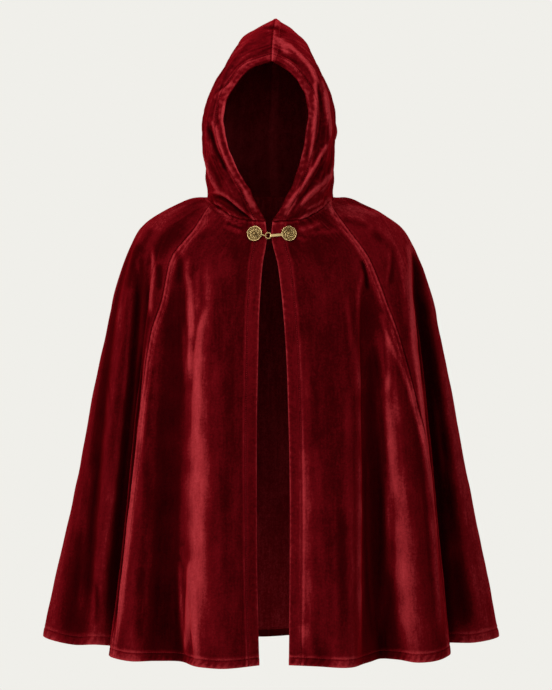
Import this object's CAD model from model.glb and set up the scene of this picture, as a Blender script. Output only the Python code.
"""Looks for the hooded velvet cape: cloth with its folds, creases, seams and stitches, and the brass clasp.

The named sizes and the functions of the plain form are the same as in the part's source, in metres.
"""

import math

import bmesh
import bpy
import numpy as np
from mathutils import Matrix, Vector


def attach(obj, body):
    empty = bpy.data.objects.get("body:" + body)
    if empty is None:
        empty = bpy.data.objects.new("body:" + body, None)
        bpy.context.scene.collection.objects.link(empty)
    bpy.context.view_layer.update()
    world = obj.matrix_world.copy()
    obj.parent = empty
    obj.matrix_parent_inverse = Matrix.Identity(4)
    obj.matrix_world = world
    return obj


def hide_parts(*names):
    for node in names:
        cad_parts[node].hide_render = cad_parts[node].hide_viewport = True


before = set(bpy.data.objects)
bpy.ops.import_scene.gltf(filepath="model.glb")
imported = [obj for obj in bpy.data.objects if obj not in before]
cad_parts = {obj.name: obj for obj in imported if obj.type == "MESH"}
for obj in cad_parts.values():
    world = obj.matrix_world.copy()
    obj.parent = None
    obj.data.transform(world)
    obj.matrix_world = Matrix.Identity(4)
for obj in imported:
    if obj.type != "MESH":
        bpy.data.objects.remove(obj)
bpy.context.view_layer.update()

# Where the photograph's camera stood, and its lens
CAMERA_PLACE = (0.009, -4.6, -0.266)
LENS_MM = 130.43

# Cloth
WALL = 0.002
SEAM_GAP = 0.0003

# Where folds begin, as a share of the way from the neck seam to the hem
FOLD_START = 0.10
FOLD_EASE = 0.10
SEARCH_STEPS = 1500

# Clasp
DISC_RADIUS = 0.0139
DISC_X = 0.0305
DISC_THICKNESS = 0.0031
CLASP_Z = -0.0666
RING_RADIUS = 0.0052
RING_WIRE = 0.0011
RING_X = -0.0063
RING_Z = -0.0700
RING_Y_AHEAD = 0.0069
EYE_RADIUS = 0.0023
EYE_WIRE = 0.0008
STEM_WIRE = 0.0011
HOOK_THICKNESS = 0.0013
STRAP_WIDTH = 0.0046
HOOK_TIP_X = 0.0150
HOOK_RISE = 0.0014
CLASP_CLEARANCE = 0.0006


def table(columns, rows):
    """A short table as a dictionary of arrays, one for each named column."""
    return dict(zip(columns.split(), np.array(rows, float).T))


# The plain body with no folds. Each row is one ring of it, and "fall" is its share of the way from
# the neck seam to the hem. A ring is widest at its sides, and its front and back hang lower or higher.
RINGS = table("fall side_x side_z front_y front_z back_y back_z", [
    (0.000, 0.1140, 0.004, 0.112, -0.044, 0.088, 0.012),
    (0.035, 0.1420, 0.003, 0.117, -0.072, 0.100, -0.018),
    (0.068, 0.1740, -0.010, 0.122, -0.098, 0.111, -0.047),
    (0.105, 0.2060, -0.026, 0.129, -0.127, 0.122, -0.077),
    (0.156, 0.2400, -0.054, 0.138, -0.167, 0.138, -0.120),
    (0.195, 0.2570, -0.084, 0.144, -0.197, 0.148, -0.152),
    (0.268, 0.2790, -0.146, 0.152, -0.255, 0.160, -0.214),
    (0.435, 0.3105, -0.294, 0.165, -0.386, 0.178, -0.354),
    (0.684, 0.3490, -0.514, 0.178, -0.582, 0.200, -0.562),
    (1.000, 0.4020, -0.798, 0.190, -0.831, 0.220, -0.826),
])

# How far the whole cape leans to its left at each height
SWAY = table("z x", [
    (-0.840, 0.0015),
    (-0.760, 0.0024),
    (-0.600, 0.0042),
    (-0.400, 0.0046),
    (-0.200, 0.0049),
    (-0.100, 0.0028),
    (-0.045, 0.0005),
    (0.030, -0.0020),
    (0.100, -0.0048),
    (0.170, -0.0030),
    (0.240, 0.0000),
    (0.290, 0.0020),
    (0.345, 0.0082),
])

# The ridges and valleys of the folds, in order from the wearer's right front edge round the back to the
# left front edge. Bearings are in degrees from the centre front. "out" is how far the line stands out
# from the plain ring at the hem, and "drop" is how much lower than that ring it hangs there.
FOLDS = table("shoulder hem out drop", [
    (5, 3.1, -0.006, 0.001),
    (24, 13, 0.028, 0.004),
    (34, 17.8, 0.022, 0.003),
    (46, 25.5, -0.026, 0.001),
    (53, 32, -0.016, 0.003),
    (58, 38.5, 0.010, 0.005),
    (63, 45.5, 0.004, 0.003),
    (68, 50, -0.055, -0.004),
    (80, 55.5, -0.028, -0.005),
    (90, 66, -0.014, 0.004),
    (97, 88, 0.017, 0.001),
    (101, 103, -0.026, -0.002),
    (105, 115, 0.020, 0.001),
    (111, 127, -0.030, -0.002),
    (119, 139, 0.022, 0.001),
    (130, 151, -0.024, -0.002),
    (147, 163, 0.018, 0),
    (180, 177, -0.018, 0),
    (208, 190, 0.020, 0),
    (226, 203, -0.024, -0.002),
    (238, 216, 0.026, 0.001),
    (247, 228, -0.030, -0.002),
    (254, 240, 0.018, 0.001),
    (258, 254, -0.024, -0.002),
    (262, 270, 0.013, 0.003),
    (266, 289, -0.013, 0.004),
    (272, 299.5, -0.062, 0),
    (280, 306.5, -0.008, 0.008),
    (288, 313, 0.012, 0.010),
    (299, 321, 0.018, 0.007),
    (307, 325, -0.022, 0.003),
    (313, 329, -0.047, 0.002),
    (317, 334, -0.026, 0.004),
    (321, 342, 0.032, 0.003),
    (340, 349, 0.014, 0.001),
    (355, 355.5, 0, 0),
])

# How suddenly the rings rise from the front and back to their sides
SIDE_RISE_POWER = 3

# The raglan seams, as bearings in degrees at a share of the way down
SEAMS = table("fall front_right back_right back_left front_left", [
    (0.000, 66, 124, 236, 296),
    (0.060, 54, 131, 229, 307),
    (0.147, 51, 134, 226, 311.5),
    (0.230, 48, 134, 226, 312),
    (0.310, 49.3, 134, 226, 310.2),
    (0.430, 48.5, 135, 225, 307.4),
    (0.600, 47.7, 137, 223, 304),
    (1.000, 45.5, 139, 221, 306.5),
])

# The opening down the front: where its middle lies, and half of how wide it gapes
OPENING = table("fall middle half_width", [
    (0.00, -0.0041, 0.0063),
    (0.03, -0.0048, 0.0041),
    (0.10, -0.0049, 0.0136),
    (0.16, -0.0047, 0.0184),
    (0.22, -0.0043, 0.0219),
    (0.31, -0.0028, 0.0250),
    (0.45, -0.0015, 0.0280),
    (0.80, 0.0009, 0.0288),
    (1.00, 0.0038, 0.0264),
])

# The hood. Each rib runs from the neck seam, at height 0, up to the seam over the crown, at 1, through named
# heights on the way.
RIB_HEIGHTS = (0, 0.18, 0.40, 0.61, 0.77, 0.9, 1)
RIB_NAMES = ("low", "middle", "high", "brow", "top", "seam")
HOOD_RIBS = table("share bearing", [
    (0.00, 5),
    (0.12, 30),
    (0.30, 65),
    (0.50, 95),
    (0.70, 125),
    (0.87, 155),
    (1.00, 180),
])
HOOD_X = table("low middle high brow top seam", [
    (0.0333, 0.0675, 0.0790, 0.0613, 0.035, 0),
    (0.0700, 0.0980, 0.1040, 0.0860, 0.052, 0),
    (0.1100, 0.1135, 0.1130, 0.0910, 0.054, 0),
    (0.1130, 0.1145, 0.1145, 0.0900, 0.047, 0),
    (0.1015, 0.1065, 0.1060, 0.0810, 0.041, 0),
    (0.0580, 0.0630, 0.0615, 0.0470, 0.024, 0),
    (0, 0, 0, 0, 0, 0),
])
HOOD_Y = table("low middle high brow top seam", [
    (-0.124, -0.131, -0.132, -0.129, -0.125, -0.121),
    (-0.117, -0.115, -0.113, -0.109, -0.104, -0.098),
    (-0.062, -0.065, -0.062, -0.056, -0.050, -0.045),
    (0.005, 0.000, 0.003, 0.006, 0.008, 0.010),
    (0.062, 0.070, 0.074, 0.071, 0.064, 0.055),
    (0.105, 0.122, 0.125, 0.119, 0.106, 0.092),
    (0.122, 0.142, 0.147, 0.142, 0.130, 0.115),
])
HOOD_Z = table("low middle high brow top seam", [
    (0.0050, 0.078, 0.155, 0.200, 0.228, 0.2425),
    (0.0100, 0.080, 0.155, 0.212, 0.250, 0.2700),
    (0.0300, 0.090, 0.160, 0.222, 0.283, 0.3080),
    (0.0450, 0.105, 0.166, 0.232, 0.304, 0.3330),
    (0.0500, 0.110, 0.172, 0.240, 0.312, 0.3390),
    (0.0500, 0.110, 0.178, 0.240, 0.303, 0.3280),
    (0.0500, 0.110, 0.178, 0.236, 0.284, 0.3100),
])
# The face opening reaches less far out on the wearer's left than on the right, by the same heights
LEFT_FACE_X = (-0.0009, -0.0072, -0.0090, -0.0078, -0.0078, 0)


def smooth(x, knots, values):
    """A smooth curve through the values at the knots, read at x."""
    knots = np.asarray(knots, float)
    values = np.asarray(values, float)
    x = np.asarray(x, float)
    gaps = np.diff(knots)
    chords = (np.diff(values, axis=0).T / gaps).T
    slopes = np.empty_like(values)
    slopes[0] = chords[0]
    slopes[-1] = chords[-1]
    before, after = gaps[:-1], gaps[1:]
    slopes[1:-1] = ((chords[:-1].T * after + chords[1:].T * before) / (before + after)).T
    i = np.clip(np.searchsorted(knots, x, side="right") - 1, 0, len(gaps) - 1)
    s = (x - knots[i]) / gaps[i]
    tail = (1,) * (values.ndim - 1)
    s = s.reshape(s.shape + tail)
    span = gaps[i].reshape(gaps[i].shape + tail)
    start = values[i] * (1 + 2 * s) * (1 - s) ** 2 + slopes[i] * span * s * (1 - s) ** 2
    end = values[i + 1] * s**2 * (3 - 2 * s) + slopes[i + 1] * span * s**2 * (s - 1)
    return start + end


def read_at(places, known, values):
    """The vectors in the rows of values, read at places between the known ones."""
    return np.stack([np.interp(places, known, column) for column in values.T], axis=-1)


def unit(vectors):
    return vectors / np.linalg.norm(vectors, axis=-1, keepdims=True)


def ring_sizes(fall):
    """The plain ring at one level, as a dictionary of numbers."""
    return {name: float(smooth(fall, RINGS["fall"], RINGS[name])) for name in RINGS}


def ring_point(bearing, out, ring):
    """Points of the plain ring at these bearings in degrees, moved outwards by out."""
    angle = np.radians(bearing)
    sine, cosine = np.sin(angle), np.cos(angle)
    front = cosine > 0
    depth = np.where(front, ring["front_y"], ring["back_y"])
    end_z = np.where(front, ring["front_z"], ring["back_z"])
    width = ring["side_x"]
    normal = unit(np.stack([-depth * sine, -width * cosine], axis=-1))
    x = -width * sine + out * normal[..., 0]
    y = -depth * cosine + out * normal[..., 1]
    z = ring["side_z"] + (end_z - ring["side_z"]) * (1 - np.abs(sine) ** SIDE_RISE_POWER)
    return np.stack([x, y, z], axis=-1)


def fold_growth(fall):
    """How much of a fold's size at the hem it has at this level."""
    s = max(0.0, (fall - FOLD_START) / (1 - FOLD_START))
    return s * s / (s + FOLD_EASE) * (1 + FOLD_EASE)


def way_along(line):
    """How far each point of a line is from its first one, along the line."""
    return np.concatenate([[0], np.cumsum(np.linalg.norm(np.diff(line, axis=0), axis=1))])


# Each ridge's and valley's place along the hem, in metres of cloth from the first front edge
KNOTS = way_along(ring_point(FOLDS["hem"], FOLDS["out"], ring_sizes(1)))


def edge_bearings(fall, ring):
    """Bearings of the two front edges at one level."""
    middle = smooth(fall, OPENING["fall"], OPENING["middle"])
    half = smooth(fall, OPENING["fall"], OPENING["half_width"])
    right = np.degrees(np.arcsin((half - middle) / ring["side_x"]))
    left = 360 - np.degrees(np.arcsin((half + middle) / ring["side_x"]))
    return right, left


def bearings_at(fall, u, ring):
    """Bearings at one level of the places u along the cloth."""
    shoulder_width = ring_sizes(FOLD_START)["side_x"]
    hem_width = RINGS["side_x"][-1]
    width = max(ring["side_x"], shoulder_width)
    flared = (1 / shoulder_width - 1 / width) / (1 / shoulder_width - 1 / hem_width)
    rows = FOLDS["shoulder"] + (FOLDS["hem"] - FOLDS["shoulder"]) * flared
    rows[0], rows[-1] = edge_bearings(fall, ring)
    return smooth(u, KNOTS, rows)


def body_points(fall, u):
    """Points of the body's cloth at one level, at the places u along it."""
    ring = ring_sizes(fall)
    growth = fold_growth(fall)
    points = ring_point(bearings_at(fall, u, ring), smooth(u, KNOTS, FOLDS["out"]) * growth, ring)
    points[..., 2] -= smooth(u, KNOTS, FOLDS["drop"]) * growth
    return points


def body_frame(fall, u):
    """Points, outward normals, and unit vectors along the ring and down the cloth."""
    step = 1e-4
    points = body_points(fall, u)
    along = unit(body_points(fall, u + step) - body_points(fall, u - step))
    above, below = max(0, fall - step), min(1, fall + step)
    down = unit(body_points(below, u) - body_points(above, u))
    return points, unit(np.cross(along, down)), along, down


def place_of_bearing(fall, bearing):
    """The place along the cloth that has this bearing at this level."""
    u = np.linspace(KNOTS[0], KNOTS[-1], SEARCH_STEPS)
    return float(np.interp(bearing, bearings_at(fall, u, ring_sizes(fall)), u))


def seam_place(seam, fall):
    """The place along the cloth of a named seam, or of a front edge, at one level."""
    if seam == "right_edge":
        return KNOTS[0]
    if seam == "left_edge":
        return KNOTS[-1]
    return place_of_bearing(fall, float(smooth(fall, SEAMS["fall"], SEAMS[seam])))


# Studio lights: azimuth and elevation in degrees, and watts
LIGHTS = [
    ("key_left", -40, 5, 42),
    ("key_left_high", -40, 45, 64),
    ("front", 0, 5, 9),
    ("right_high", 40, 45, 42),
    ("back_right", 140, 20, 26),
    ("back", 180, 25, 60),
    ("back_left", -140, 20, 14),
]

# Studio surroundings
PALE = (0.871, 0.863, 0.823, 1)
AMBIENT_STRENGTH = 0.14
LIGHT_DISTANCE = 3
LIGHT_TARGET = (0, 0, -0.25)
FLOOR_Z = -1.42

# How finely the cloth is divided: steps in metres along it and down it, for sheets of these sizes
CLOTH_STEP = 0.0034
DOWN_STEP = 0.0047
HOOD_STEP = 0.0030
CLOTH_LENGTH = 0.83
HOOD_LENGTH, HOOD_WIDTH = 0.42, 0.38
# The columns of a hood half stand closer together near the face than behind
HOOD_LEAN = 1.3
# A short way along the cloth, over which its size is measured
PROBE = 0.002
# The share of the way down over which the body's panels are fitted to the neck seam
NECK_BLEND = 0.03
# The largest share of a sheet's width that the set distances beside one edge may take up
END_SHARE = 0.45
# How far the panels' edges reach past each other in a seam, so that no light comes through
SEAM_LAP = 0.0002
# The wall's rounded rim: how wide it is, and the share of the thickness that is left at the very edge
RIM_WIDTH = 0.001
RIM_SHARE = 0.45

# Rows or columns of the cloth at set distances from an edge or a seam, in millimetres
LINES = {kind: np.array(distances) / 1000 for kind, distances in {
    "seam": [0, 0.5, 1.2, 2.1, 3, 4.2, 6, 8, 10, 11.4, 12.3, 13.2, 14.2, 15.5, 17.5, 20],
    "plain_seam": [0, 0.5, 1.2, 2.1, 3, 4.2, 6, 9],
    "edge": [0, 0.4, 1, 2, 4, 7, 10, 13, 16, 18.6, 20.2, 21.2, 22.2, 23.2, 24.4, 26, 29],
    "hem": [0, 0.4, 1, 2, 4, 6.5, 9, 11.5, 13.4, 14.4, 15.2, 16, 17, 19, 22],
    "neck": [0, 0.6, 1.4, 2.4, 4, 6, 8.5],
    "face": [0, 0.4, 1, 2, 4, 7, 10, 13, 15.2, 16.4, 17.2, 18, 19.2, 21, 24],
    "crown": [0, 0.5, 1.2, 2, 3, 4.2, 5.4, 6.4, 7.2, 8, 9, 10.5, 13],
}.items()}

# Lines of stitches, by their distances from an edge or a seam, and the size of a stitch
STITCH_LINES = {"edge": (0.0212,), "seam": (0.0021, 0.0123)}
HEM_STITCH = 0.0152
FACE_STITCH = 0.0172
CROWN_STITCH = 0.0090
STITCH_PITCH = 0.0039
STITCH_LENGTH = 0.0027
STITCH_RADIUS = 0.00036
STITCH_RISE = 0.0001
STITCH_SIDES = 4
# A stitch's shape: places along it, as shares of its length, and its radius there
STITCH_PROFILE = [(-0.5, 0.25), (-0.3, 1), (0.3, 1), (0.5, 0.25)]

# Puckers gathered by the stitches: how far they reach, their pitch, their slant and their strength
PUCKERS = {
    "hem": (0.016, 0.0125, 0.5, 1),
    "seam": (0.015, 0.0135, 0.6, 0.7),
    "neck": (0.024, 0.0165, 0.8, 1.1),
    "face": (0.018, 0.0150, 0.5, 0.8),
    "hood_neck": (0.020, 0.0150, -0.7, 1.1),
}
PUCKER_HEIGHT = 0.00045
BODY_PUCKER_TONE, HOOD_PUCKER_TONE = 0.45, 0.35

# Uneven waves of the cloth: their height, length, seed, and how far they are drawn out upwards
SOFT_WAVES = ((0.0009, 0.085, 3, 2.2), (0.0004, 0.034, 4, 1.8))
# Fine crushed ridges of the velvet, above the shoulders: their height and tone
RIDGE_HEIGHT = 0.0007
RIDGE_TONE = 0.8
# A crease fades over this share of its length at each end, and works on cloth that faces its view by this
# much or more. Its curve is drawn by so many steps a point, and searched for so many widths around.
CREASE_END = 0.22
SEEN_FROM, SEEN_EASE = 0.02, 0.25
CREASE_STEPS = 6
CREASE_REACH = 1.3
# The nap's tone where nothing lightens or darkens it, and what creases and the crests of folds add
NAP_TONE = 0.40
CREASE_TONE = 0.24
CREST_TONE = 0.20
CREST_HEIGHT = 0.0022

# The body's panels: the seams or edges each lies between, their kinds, its flat size and its area
PANELS = {
    "front_right": ("right_edge", "front_right", "edge", "seam", (0.38, 0.83), 0.19),
    "side_right": ("front_right", "back_right", "plain_seam", "plain_seam", (0.52, 0.86), 0.315),
    "back": ("back_right", "back_left", "seam", "seam", (0.64, 0.85), 0.40),
    "side_left": ("back_left", "front_left", "plain_seam", "plain_seam", (0.50, 0.86), 0.29),
    "front_left": ("front_left", "left_edge", "seam", "edge", (0.41, 0.83), 0.22),
}

# Height of the cloth above its middle surface by the distance from an edge or a seam, all in millimetres
TRIMS = {
    "seam": [(0, -0.4), (1.2, 0.5), (2.1, 0.2), (3, 0.8), (10.5, 0.8), (12.3, -0.1), (13.4, 0.5), (15, 0.1),
             (20, 0)],
    "plain_seam": [(0, -0.4), (1.2, 0.1), (2.1, 0), (3.2, 0.3), (6, 0), (9, 0)],
    "edge": [(0, 0.2), (4, 0.5), (18, 0.5), (21.2, -0.3), (23.4, 0.4), (26, 0.1), (29, 0)],
    "hem": [(0, 0.3), (4, 0.6), (12, 0.5), (15.2, -0.3), (17, 0.4), (20, 0), (22, 0)],
    "neck": [(0, -0.8), (1.4, 0.1), (4, 0.3), (8.5, 0)],
    "face": [(0, 0.2), (4, 0.7), (14, 0.7), (17.2, -0.3), (19.2, 0.5), (22, 0), (24, 0)],
    "crown": [(0, -0.2), (1.2, 1.3), (3.2, 1.3), (7.5, 1.1), (9.4, 0), (10.5, 0.3), (13, 0)],
    "plain_crown": [(0, -0.2), (1.4, 0.2), (4, 0), (13, 0)],
    "back": [(0, -0.8), (1.2, 0.1), (3, 0.2), (6, 0), (13, 0)],
}

# How much lighter or darker the nap is beside an edge or a seam, by the distance in millimetres
NAP_TRIMS = {
    "seam": [(0, -0.4), (1.0, 0.8), (2.6, 1.9), (4.2, 1.3), (6, 0.7), (9, 0.7), (10.6, 1.5), (12.3, 0.3),
             (13.4, 1.0), (15, 0.3), (20, 0)],
    "plain_seam": [(0, -0.6), (1.2, -0.1), (2.8, 0.3), (4.6, 0.2), (7, 0), (9, 0)],
    "edge": [(0, 2.2), (1.4, 1.6), (3, 0.7), (8, 0.5), (17, 0.6), (19.6, 0.9), (21.2, -0.1), (22.4, 0.3),
             (24, 1.0), (27, 0.6), (29, 0)],
    "hem": [(0, 2.0), (2, 1.3), (5, 0.5), (12, 0.3), (14, -0.2), (15.2, 0.2), (16, 1.1), (18, 0.9), (20, 0.2),
            (22, 0)],
    "neck": [(0, -1.2), (1.6, -0.2), (4, 0.6), (8.5, 0)],
    "face": [(0, 0.6), (2, 0.9), (5, 0.5), (12, 0.5), (15.4, 1.1), (17.2, -0.3), (19, 0.6), (21, 0.8), (24, 0)],
    "crown": [(0, -0.9), (1.2, 1.9), (3, 1.5), (5, 0.8), (8, 0.7), (9.0, 1.1), (10.2, -0.4), (11.4, 0.5),
              (13, 0)],
    "plain_crown": [(0, -1.0), (1.4, 0.2), (4, 0.3), (9, 0), (13, 0)],
    "back": [(0, -0.8), (1.2, 0.3), (3, 0.2), (6, 0), (13, 0)],
}


def crease_rows(text):
    """The creases in a text, each as its width, height and tone and its path as an array of points."""
    rows = []
    for line in text.strip().splitlines():
        if not line.startswith("#"):
            sizes, path = line.split(":")
            path = np.array([pair.split() for pair in path.split(",")], float)
            rows.append((*map(float, sizes.split()), path))
    return rows


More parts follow.
